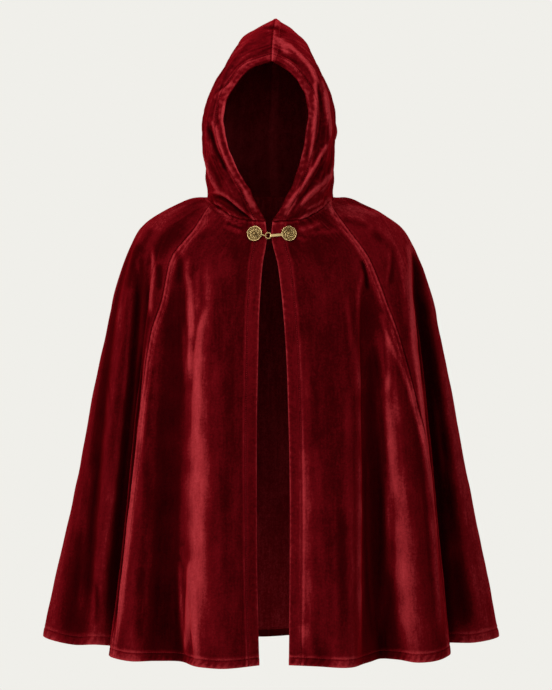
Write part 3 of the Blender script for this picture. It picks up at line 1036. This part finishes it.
def hood_half(name, side, material):
    """One half of the hood, with the turned band round the face and the felled seam over the crown."""
    count = int(HOOD_LENGTH / HOOD_STEP)
    heights, from_neck, from_crown = spread(
        0, 1, HOOD_LENGTH, HOOD_LENGTH, LINES["neck"], LINES["crown"], count)
    heights, from_neck, from_crown = heights[0], from_neck[0], from_crown[0]
    zero, one = np.zeros(len(heights)), np.ones(len(heights))
    face_rate, back_rate = (
        np.linalg.norm(hood_points(side, inner, heights) - hood_points(side, edge, heights), axis=1) / PROBE
        for edge, inner in ((zero, zero + PROBE), (one, one - PROBE)))
    count = int(HOOD_WIDTH / HOOD_STEP)
    shares, from_face, from_back = spread(
        zero, one, face_rate, back_rate, LINES["face"], LINES["crown"], count, HOOD_LEAN)
    height_grid = np.broadcast_to(heights[:, None], shares.shape)
    points, normals, along, _ = hood_frame(side, shares, height_grid)
    near_face = np.clip(1 - from_face / 0.022, 0, 1) * np.clip(from_neck / 0.03, 0, 1)[:, None]
    points += along * (0.0012 * near_face * waves(points, 0.032, 21))[..., None]
    order = slice(None, None, -side)
    _, _, mitre, known = (a[order] for a in NECK_SEAMS[side])
    normals[0] = read_at(shares[0], known, mitre)
    # The two halves meet in the middle plane, at the back of the head and over the crown
    for seam in ((slice(None), -1), (-1, slice(None))):
        flat = normals[seam] * (0, 1, 1)
        flat = unit(flat + 1e-9)
        lean = np.clip(np.sum(flat * normals[seam], axis=-1, keepdims=True), 0.6, 1)
        normals[seam] = flat / lean
        points[seam + (0,)] = -side * SEAM_LAP
    trims = trim("face", from_face) + trim("back", from_back)
    crown = "crown" if side > 0 else "plain_crown"
    trims += (trim(crown, from_crown) + trim("neck", from_neck))[:, :, None]
    sewn = (from_back, from_crown[:, None], from_neck[:, None])
    thickness = rim_thickness(from_face, *(gap + RIM_WIDTH for gap in sewn))
    cloth = np.stack([shares * HOOD_WIDTH, height_grid * HOOD_LENGTH], axis=-1)
    ripple = puckers("face", from_face, cloth[..., 1], points)
    ripple += puckers("hood_neck", from_neck[:, None], cloth[..., 0], points)
    trims += np.stack([PUCKER_HEIGHT * ripple, HOOD_PUCKER_TONE * ripple])
    trims[1] += 0.7 * near_face * np.clip(1 - ((height_grid - 0.4) / 0.42) ** 2, 0, 1)
    lining = 0.78 - 0.16 * np.clip((height_grid - 0.5) / 0.3, 0, 1) + 0.10 * (from_back < 0.014) * (side > 0)
    lining += 0.30 * (side < 0) * np.exp(-((height_grid - 0.38) / 0.20) ** 2 - ((shares - 0.80) / 0.09) ** 2)
    piece, outer, normals = cloth_piece(name, points, normals, trims, thickness, cloth, lining, material)
    return piece, outer, normals, from_face, from_crown


def column_at(outer, normals, distances, distance, reverse=False):
    """The line on a panel that stays this far from one of its sides, with the cloth's directions there."""
    line, facing = [], []
    for row, directions, gaps in zip(outer, normals, distances):
        if reverse:
            row, directions, gaps = row[::-1], directions[::-1], gaps[::-1]
        line.append(read_at(distance, gaps, row))
        facing.append(read_at(distance, gaps, directions))
    return np.array(line), np.array(facing)


def row_at(outer, normals, distances, distance):
    """The line on a panel that stays this far from its last row, with the cloth's directions there."""
    best = int(np.argmin(np.abs(distances - distance)))
    return outer[best], normals[best]


def stitches(name, lines, material):
    """Thread stitches, each a small rounded bar, along lines on the cloth."""
    sides = STITCH_SIDES
    turns = [2 * math.pi * k / sides for k in range(sides)]
    vertices, faces = [], []
    for line, facing in lines:
        way = way_along(line)
        for middle in np.arange(STITCH_PITCH, way[-1] - STITCH_PITCH, STITCH_PITCH):
            first, last = (read_at(middle + d, way, line) for d in (-STITCH_LENGTH / 2, STITCH_LENGTH / 2))
            out = unit(read_at(middle, way, facing))
            centre, ahead = (first + last) / 2 + out * STITCH_RISE, unit(last - first)
            across = unit(np.cross(out, ahead))
            base = len(vertices)
            for place, size in STITCH_PROFILE:
                for angle in turns:
                    ring = across * math.cos(angle) + out * math.sin(angle)
                    vertices.append(centre + ahead * place * STITCH_LENGTH + ring * STITCH_RADIUS * size)
            for r in range(len(STITCH_PROFILE) - 1):
                for k in range(sides):
                    a, b = base + r * sides + k, base + r * sides + (k + 1) % sides
                    faces.append((a, b, b + sides, a + sides))
            faces.append(tuple(base + k for k in reversed(range(sides))))
            faces.append(tuple(base + (len(STITCH_PROFILE) - 1) * sides + k for k in range(sides)))
    mesh = bpy.data.meshes.new(name)
    mesh.from_pydata([tuple(v) for v in vertices], [], faces)
    return new_piece(name, mesh, material)


def clasp_frame(x):
    """Place and outward direction of the cloth under the middle of a clasp disc."""
    rows = []
    for fall in np.linspace(0, 0.09, 40):
        bearing = math.degrees(math.asin(abs(x) / ring_sizes(fall)["side_x"]))
        place = np.array([place_of_bearing(fall, bearing if x < 0 else 360 - bearing)])
        points, normals, _, _ = body_frame(fall, place)
        rows.append(np.concatenate([points[0], normals[0]]))
    rows = np.array(rows)
    found = read_at(-CLASP_Z, -rows[:, 2], rows)
    point, normal = Vector(found[:3]), Vector(found[3:])
    point = point + normal * (WALL / 2 + SEAM_GAP)
    return Matrix.Translation(point) @ normal.to_track_quat("Z", "Y").to_matrix().to_4x4()


def rosette_height(r, angle, petals, beads, swirl, rings):
    """Height of a medallion's relief, as a share of its thickness, at a share r of its radius."""
    rope = np.sqrt(np.clip(1 - ((r - 0.925) / 0.075) ** 2, 0, 1))
    height = 0.56 + rope * (0.40 + 0.05 * np.sin(beads * angle + 30 * r))
    bead_angle = (angle * beads / (2 * math.pi)) % 1 - 0.5
    bead = 1 - ((r - 0.77) / 0.055) ** 2 - (bead_angle / 0.42) ** 2
    height = np.maximum(height, 0.56 + 0.36 * np.sqrt(np.clip(bead, 0, 1)))
    turn = np.cos(petals * (angle + swirl * r) / 2) ** 2
    petal = np.clip(turn - 0.15, 0, 1) * np.clip(1 - ((r - 0.47) / 0.22) ** 2, 0, 1)
    vein = 0.10 * np.clip(1 - np.abs(np.sin(petals * (angle + swirl * r) / 2)) / 0.12, 0, 1)
    height += np.where(r < 0.7, 0.60 * petal ** 0.6 - vein * petal, 0)
    lobes = 0.05 * np.cos(petals * angle)
    for size in rings:
        ring = np.sqrt(np.clip(1 - ((r - size) / 0.05) ** 2, 0, 1))
        height = np.maximum(height, 0.62 + (0.28 + lobes) * ring)
    boss = np.sqrt(np.clip(1 - (r / 0.19) ** 2, 0, 1))
    return np.maximum(height, 0.66 + 0.56 * boss)


def medallion(name, x, petals, beads, swirl, rings, stain, material):
    """A cast medallion with a rope rim, a ring of beads and a plain rosette, and a dark stain on one side."""
    spokes, circles = 192, 64
    relief = (petals, beads, swirl, rings)
    r = np.linspace(0, 1, circles + 1)[1:]
    angle = np.arange(spokes) * 2 * math.pi / spokes
    grid_r, grid_a = np.meshgrid(r, angle, indexing="ij")
    height = rosette_height(grid_r, grid_a, *relief) * DISC_THICKNESS
    height[-1] = 0.42 * DISC_THICKNESS
    wobble = 1 + 0.006 * np.sin(5 * angle + 1) + 0.004 * np.sin(11 * angle)
    out = grid_r * wobble * DISC_RADIUS
    rows = np.stack([out * np.cos(grid_a), out * np.sin(grid_a), height], axis=-1)
    rows = np.concatenate([rows, rows[-1:] * (0.97, 0.97, 0)])
    top = rosette_height(np.zeros(1), np.zeros(1), *relief)[0] * DISC_THICKNESS
    vertices = [tuple(v) for v in rows.reshape(-1, 3)] + [(0, 0, top)]
    faces = []
    for k in range(len(rows) - 1):
        for s in range(spokes):
            a, b = k * spokes + s, k * spokes + (s + 1) % spokes
            faces.append((a + spokes, b + spokes, b, a))
    faces += [(len(vertices) - 1, s, (s + 1) % spokes) for s in range(spokes)]
    faces.append(tuple(reversed([(len(rows) - 1) * spokes + s for s in range(spokes)])))
    low = blurred(height, 4, 6)
    stain_r, stain_angle = stain
    near = np.clip((grid_r - 0.17) / 0.06, 0, 1) * np.exp(-((grid_r - stain_r) / 0.18) ** 2)
    near *= np.exp(4 * (np.cos(grid_a - math.radians(stain_angle)) - 1))
    recess = np.clip(0.43 + (height - low) / (0.36 * DISC_THICKNESS) - 0.55 * near, 0.05, 0.92)
    mesh = new_mesh(name, vertices, faces)
    set_nap(mesh, np.concatenate([recess.reshape(-1), np.full(spokes, 0.4), [0.9]]))
    mesh.transform(Matrix.Translation((sway(CLASP_Z), 0, 0)) @ clasp_frame(x))
    return new_piece(name, mesh, material)


def plain_metal(name, shape, material, polish):
    """A piece of plain brass from a finished bmesh, rubbed as bright as polish says."""
    mesh = bpy.data.meshes.new(name)
    finish_shape(shape, mesh)
    set_nap(mesh, np.full(len(mesh.vertices), polish))
    mesh.transform(Matrix.Translation((sway(CLASP_Z), 0, 0)))
    return new_piece(name, mesh, material)


def add_ring(shape, radius, wire, matrix, steps=64, sides=20):
    """Adds a round ring about the matrix's Z axis."""
    corners = [shape.verts.new(((radius + wire * math.cos(a)), 0, wire * math.sin(a)))
               for a in (2 * math.pi * i / sides for i in range(sides))]
    edges = [shape.edges.new(pair) for pair in zip(corners, corners[1:] + corners[:1])]
    before = set(shape.verts) - set(corners)
    bmesh.ops.spin(shape, geom=corners + edges, axis=(0, 0, 1), cent=(0, 0, 0), steps=steps,
                   angle=2 * math.pi, use_merge=True)
    made = [v for v in shape.verts if v not in before]
    bmesh.ops.transform(shape, matrix=matrix, verts=made)


def add_rod(shape, start, end, radius):
    """Adds a round bar between two points."""
    start, end = Vector(start), Vector(end)
    turn = (end - start).to_track_quat("Z", "Y").to_matrix().to_4x4()
    bmesh.ops.create_cone(shape, cap_ends=True, segments=20, radius1=radius, radius2=radius,
                          depth=(end - start).length, matrix=Matrix.Translation((start + end) / 2) @ turn)


def hook_piece(name, ring_y, root_x, material):
    """The flat strap that turns round the ring's wire and comes back in front, with softened edges."""
    turn_x = RING_X + RING_RADIUS
    reach = RING_WIRE + CLASP_CLEARANCE
    outside = reach + HOOK_THICKNESS
    arc = [math.pi / 2 + math.pi * i / 24 for i in range(25)]

    def round_the_wire(radius, angles):
        return [(turn_x + radius * math.cos(a), ring_y + radius * math.sin(a)) for a in angles]

    outline = [(root_x, ring_y + outside)] + round_the_wire(outside, arc)
    outline += [(HOOK_TIP_X, ring_y - outside), (HOOK_TIP_X, ring_y - reach)]
    outline += round_the_wire(reach, reversed(arc)) + [(root_x, ring_y + reach)]
    shape = bmesh.new()
    low = shape.faces.new([shape.verts.new((x, y, -STRAP_WIDTH / 2)) for x, y in outline])
    raised = bmesh.ops.extrude_face_region(shape, geom=[low])["geom"]
    raised = [v for v in raised if isinstance(v, bmesh.types.BMVert)]
    bmesh.ops.translate(shape, verts=raised, vec=(0, 0, STRAP_WIDTH))
    bmesh.ops.recalc_face_normals(shape, faces=shape.faces)
    long_edges = [e for e in shape.edges if e.calc_face_angle(0) > 0.7]
    bmesh.ops.bevel(shape, geom=long_edges, offset=0.00028, segments=3, profile=0.6, affect="EDGES")
    for vert in shape.verts:
        vert.co.z += RING_Z + HOOK_RISE * (vert.co.x - turn_x) / (HOOK_TIP_X - turn_x)
    return plain_metal(name, shape, material, 0.86)


def object_place(tree):
    return tree.nodes.new("ShaderNodeTexCoord").outputs["Object"]


def attribute(tree, name, output="Fac"):
    made = tree.nodes.new("ShaderNodeAttribute")
    made.attribute_name = name
    return made.outputs[output]


def noise(tree, vector, scale, detail, roughness=0.5):
    made = tree.nodes.new("ShaderNodeTexNoise")
    made.inputs["Scale"].default_value = scale
    made.inputs["Detail"].default_value = detail
    made.inputs["Roughness"].default_value = roughness
    tree.links.new(vector, made.inputs["Vector"])
    return made.outputs["Fac"]


def sums(tree, start, *terms):
    """A number plus the weighted sum of several others, given as (socket, weight) pairs."""
    total = None
    for socket, weight in terms:
        step = tree.nodes.new("ShaderNodeMath")
        step.operation = "MULTIPLY_ADD"
        tree.links.new(socket, step.inputs[0])
        step.inputs[1].default_value = weight
        if total is None:
            step.inputs[2].default_value = start
        else:
            tree.links.new(total, step.inputs[2])
        total = step.outputs[0]
    return total


def ramp(tree, factor, stops):
    made = tree.nodes.new("ShaderNodeValToRGB")
    band = made.color_ramp
    while len(band.elements) < len(stops):
        band.elements.new(0.5)
    for element, (place, colour) in zip(band.elements, stops):
        element.position = place
        element.color = (*colour, 1)
    tree.links.new(factor, made.inputs["Fac"])
    return made.outputs["Color"]


def ranged(tree, value, low, high, new_low, new_high):
    made = tree.nodes.new("ShaderNodeMapRange")
    tree.links.new(value, made.inputs["Value"])
    for label, number in zip(("From Min", "From Max", "To Min", "To Max"), (low, high, new_low, new_high)):
        made.inputs[label].default_value = number
    return made.outputs["Result"]


def bumped(tree, height, strength, distance, before=None):
    made = tree.nodes.new("ShaderNodeBump")
    made.inputs["Strength"].default_value = strength
    made.inputs["Distance"].default_value = distance
    tree.links.new(height, made.inputs["Height"])
    if before is not None:
        tree.links.new(before, made.inputs["Normal"])
    return made.outputs["Normal"]


def stretched(tree, vector, factors):
    made = tree.nodes.new("ShaderNodeVectorMath")
    made.operation = "MULTIPLY"
    tree.links.new(vector, made.inputs[0])
    made.inputs[1].default_value = factors
    return made.outputs["Vector"]


def new_material(name, settings):
    material = bpy.data.materials.new(name)
    material.use_nodes = True
    shader = material.node_tree.nodes["Principled BSDF"]
    for label, value in settings.items():
        shader.inputs[label].default_value = value
    return material, material.node_tree, shader


def velvet_material():
    """Cotton velvet: a dense fine nap with soft downward streaks, cloudy where it has been brushed."""
    material, tree, shader = new_material("cotton_velvet", {
        "Specular IOR Level": 0.0,
        "Sheen Weight": 0.42,
        "Sheen Roughness": 0.5,
        "Sheen Tint": (0.50, 0.006, 0.013, 1),
    })
    place = object_place(tree)
    cloth = attribute(tree, "cloth", "Vector")
    nap = attribute(tree, "nap")
    along = stretched(tree, cloth, (1, 0.12, 1))
    clouds = noise(tree, place, 14, 3, 0.55)
    streaks = noise(tree, along, 90, 3, 0.6)
    fine_streaks = noise(tree, along, 330, 2, 0.5)
    grain = noise(tree, place, 800, 2, 0.7)
    flecks = noise(tree, place, 300, 3, 0.75)
    mottle = noise(tree, place, 110, 3, 0.6)
    tone = sums(tree, -0.60, (nap, 0.84), (clouds, 0.12), (streaks, 0.22), (fine_streaks, 0.14),
                (grain, 0.18), (flecks, 0.40), (mottle, 0.14))
    colour = ramp(tree, tone, [
        (0.00, (0.003, 0.0001, 0.0002)),
        (0.33, (0.024, 0.0004, 0.0009)),
        (0.58, (0.082, 0.0018, 0.0034)),
        (0.82, (0.225, 0.0150, 0.0190)),
        (1.00, (0.320, 0.0300, 0.0360)),
    ])
    tree.links.new(colour, shader.inputs["Base Color"])
    tree.links.new(ranged(tree, grain, 0.3, 0.7, 0.70, 0.92), shader.inputs["Roughness"])
    normal = bumped(tree, streaks, 0.35, 0.0012)
    normal = bumped(tree, grain, 0.55, 0.0005, normal)
    tree.links.new(normal, shader.inputs["Normal"])
    return material


def thread_material():
    """Twisted sewing thread a little brighter than the velvet."""
    material, tree, shader = new_material("sewing_thread", {
        "Specular IOR Level": 0.04,
        "Sheen Weight": 0.4,
        "Sheen Roughness": 0.5,
        "Sheen Tint": (0.6, 0.02, 0.03, 1),
    })
    place = object_place(tree)
    twist = noise(tree, place, 1400, 1)
    colour = ramp(tree, twist, [(0.3, (0.110, 0.0020, 0.0040)), (0.7, (0.22, 0.008, 0.012))])
    tree.links.new(colour, shader.inputs["Base Color"])
    tree.links.new(ranged(tree, twist, 0.3, 0.7, 0.5, 0.7), shader.inputs["Roughness"])
    tree.links.new(bumped(tree, twist, 0.4, 0.0003), shader.inputs["Normal"])
    return material


def brass_material():
    """Old cast brass: rubbed bright on what stands proud, brown and dull in the recesses."""
    material, tree, shader = new_material("antique_brass", {"Metallic": 1.0, "Specular IOR Level": 0.5})
    place = object_place(tree)
    proud = attribute(tree, "nap")
    stains = noise(tree, place, 420, 4, 0.6)
    pits = noise(tree, place, 2600, 2, 0.6)
    worn = sums(tree, 0, (proud, 0.85), (stains, 0.35), (pits, 0.12))
    colour = ramp(tree, worn, [
        (0.25, (0.030, 0.014, 0.004)),
        (0.55, (0.14, 0.082, 0.026)),
        (0.80, (0.34, 0.235, 0.100)),
        (1.00, (0.56, 0.410, 0.180)),
    ])
    tree.links.new(colour, shader.inputs["Base Color"])
    tree.links.new(ranged(tree, worn, 0.35, 0.95, 0.62, 0.30), shader.inputs["Roughness"])
    normal = bumped(tree, stains, 0.25, 0.0002)
    tree.links.new(bumped(tree, pits, 0.3, 0.0001, normal), shader.inputs["Normal"])
    return material


def floor_material():
    material, tree, shader = new_material("studio_floor", {"Roughness": 0.8})
    place = object_place(tree)
    colour = ramp(tree, noise(tree, place, 2, 2), [(0.3, (0.80, 0.79, 0.75)), (0.7, (0.84, 0.83, 0.79))])
    tree.links.new(colour, shader.inputs["Base Color"])
    return material


def soft_light(name, azimuth, elevation, power):
    """A large soft light turned to the cape. Azimuth 0 is in front, and 90 on the right of the view."""
    light = bpy.data.lights.new(name, "AREA")
    light.shape = "RECTANGLE"
    light.size, light.size_y = 1.3, 1.8
    light.energy = power
    a, e = math.radians(azimuth), math.radians(elevation)
    away = Vector((math.sin(a) * math.cos(e), -math.cos(a) * math.cos(e), math.sin(e)))
    lamp = bpy.data.objects.new(name, light)
    lamp.location = Vector(LIGHT_TARGET) + LIGHT_DISTANCE * away
    lamp.rotation_mode = "QUATERNION"
    lamp.rotation_quaternion = (-away).to_track_quat("-Z", "Y")
    bpy.context.scene.collection.objects.link(lamp)


def studio():
    """The pale surroundings, the floor, the lights and the camera."""
    scene = bpy.context.scene
    scene.view_settings.view_transform = "Standard"
    world = bpy.data.worlds.new("studio")
    world.use_nodes = True
    tree = world.node_tree
    pale = tree.nodes["Background"]
    pale.inputs["Color"].default_value = PALE
    dim = tree.nodes.new("ShaderNodeBackground")
    dim.inputs["Color"].default_value = PALE
    dim.inputs["Strength"].default_value = AMBIENT_STRENGTH
    rays = tree.nodes.new("ShaderNodeLightPath")
    mix = tree.nodes.new("ShaderNodeMixShader")
    tree.links.new(rays.outputs["Is Camera Ray"], mix.inputs["Fac"])
    tree.links.new(dim.outputs[0], mix.inputs[1])
    tree.links.new(pale.outputs[0], mix.inputs[2])
    tree.links.new(mix.outputs[0], tree.nodes["World Output"].inputs["Surface"])
    scene.world = world
    shape = bmesh.new()
    bmesh.ops.create_circle(shape, cap_ends=True, segments=128, radius=3)
    mesh = bpy.data.meshes.new("floor")
    shape.to_mesh(mesh)
    shape.free()
    mesh.materials.append(floor_material())
    floor = bpy.data.objects.new("floor", mesh)
    floor.location = (0, 0, FLOOR_Z)
    scene.collection.objects.link(floor)
    for name, azimuth, elevation, power in LIGHTS:
        soft_light(name, azimuth, elevation, power)
    camera_data = bpy.data.cameras.new("camera")
    camera_data.lens = LENS_MM
    camera_data.sensor_width = 36
    camera_data.clip_end = 60
    camera = bpy.data.objects.new("camera", camera_data)
    camera.location = CAMERA_PLACE
    camera.rotation_euler = (math.pi / 2, 0, 0)
    scene.collection.objects.link(camera)
    scene.camera = camera


def main():
    velvet, thread, brass = velvet_material(), thread_material(), brass_material()
    studio()
    for name, (start, end, start_trim, end_trim, flat, area) in PANELS.items():
        piece, outer, normals, from_first, from_last, from_hem = body_panel(
            name + "_cloth", start, end, start_trim, end_trim, velvet)
        paths = [row_at(outer, normals, from_hem, HEM_STITCH)]
        for kind, distances, is_last in ((start_trim, from_first, False), (end_trim, from_last, True)):
            for distance in STITCH_LINES.get(kind, ()):
                paths.append(column_at(outer, normals, distances, distance, is_last))
        thread_piece = stitches(name + "_stitches", paths, thread)
        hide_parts(name)
    for name, side in (("hood_right", -1), ("hood_left", 1)):
        piece, outer, normals, from_face, from_crown = hood_half(name + "_cloth", side, velvet)
        paths = [column_at(outer, normals, from_face, FACE_STITCH)]
        if side > 0:
            paths.append(row_at(outer, normals, from_crown, CROWN_STITCH))
        thread_piece = stitches(name + "_stitches", paths, thread)
        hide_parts(name)
    right = medallion("medallion_right", -DISC_X, 12, 30, 1.6, (0.33, 0.58), (0.36, -40), brass)
    left = medallion("medallion_left", DISC_X, 7, 34, -3.2, (0.25,), (0.48, 95), brass)
    centre = clasp_frame(DISC_X).translation
    ring_y = centre.y - RING_Y_AHEAD
    shape = bmesh.new()
    eye_x = RING_X - RING_RADIUS
    add_ring(shape, EYE_RADIUS, EYE_WIRE, Matrix.Translation((eye_x, ring_y, RING_Z)), 40, 16)
    add_rod(shape, (-DISC_X + 0.8 * DISC_RADIUS, centre.y - 0.9 * DISC_THICKNESS, CLASP_Z),
            (eye_x - EYE_RADIUS, ring_y, RING_Z), STEM_WIRE)
    eye = plain_metal("eye_and_stem", shape, brass, 0.72)
    shape = bmesh.new()
    upright = Matrix.Translation((RING_X, ring_y, RING_Z)) @ Matrix.Rotation(math.pi / 2, 4, "X")
    add_ring(shape, RING_RADIUS, RING_WIRE, upright)
    ring = plain_metal("ring", shape, brass, 0.68)
    strap = hook_piece("hook", ring_y, DISC_X - 0.75 * DISC_RADIUS, brass)
    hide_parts("clasp_right")
    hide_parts("clasp_right")
    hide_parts("clasp_left")
    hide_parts("clasp_left")
    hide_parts("clasp_ring")


main()
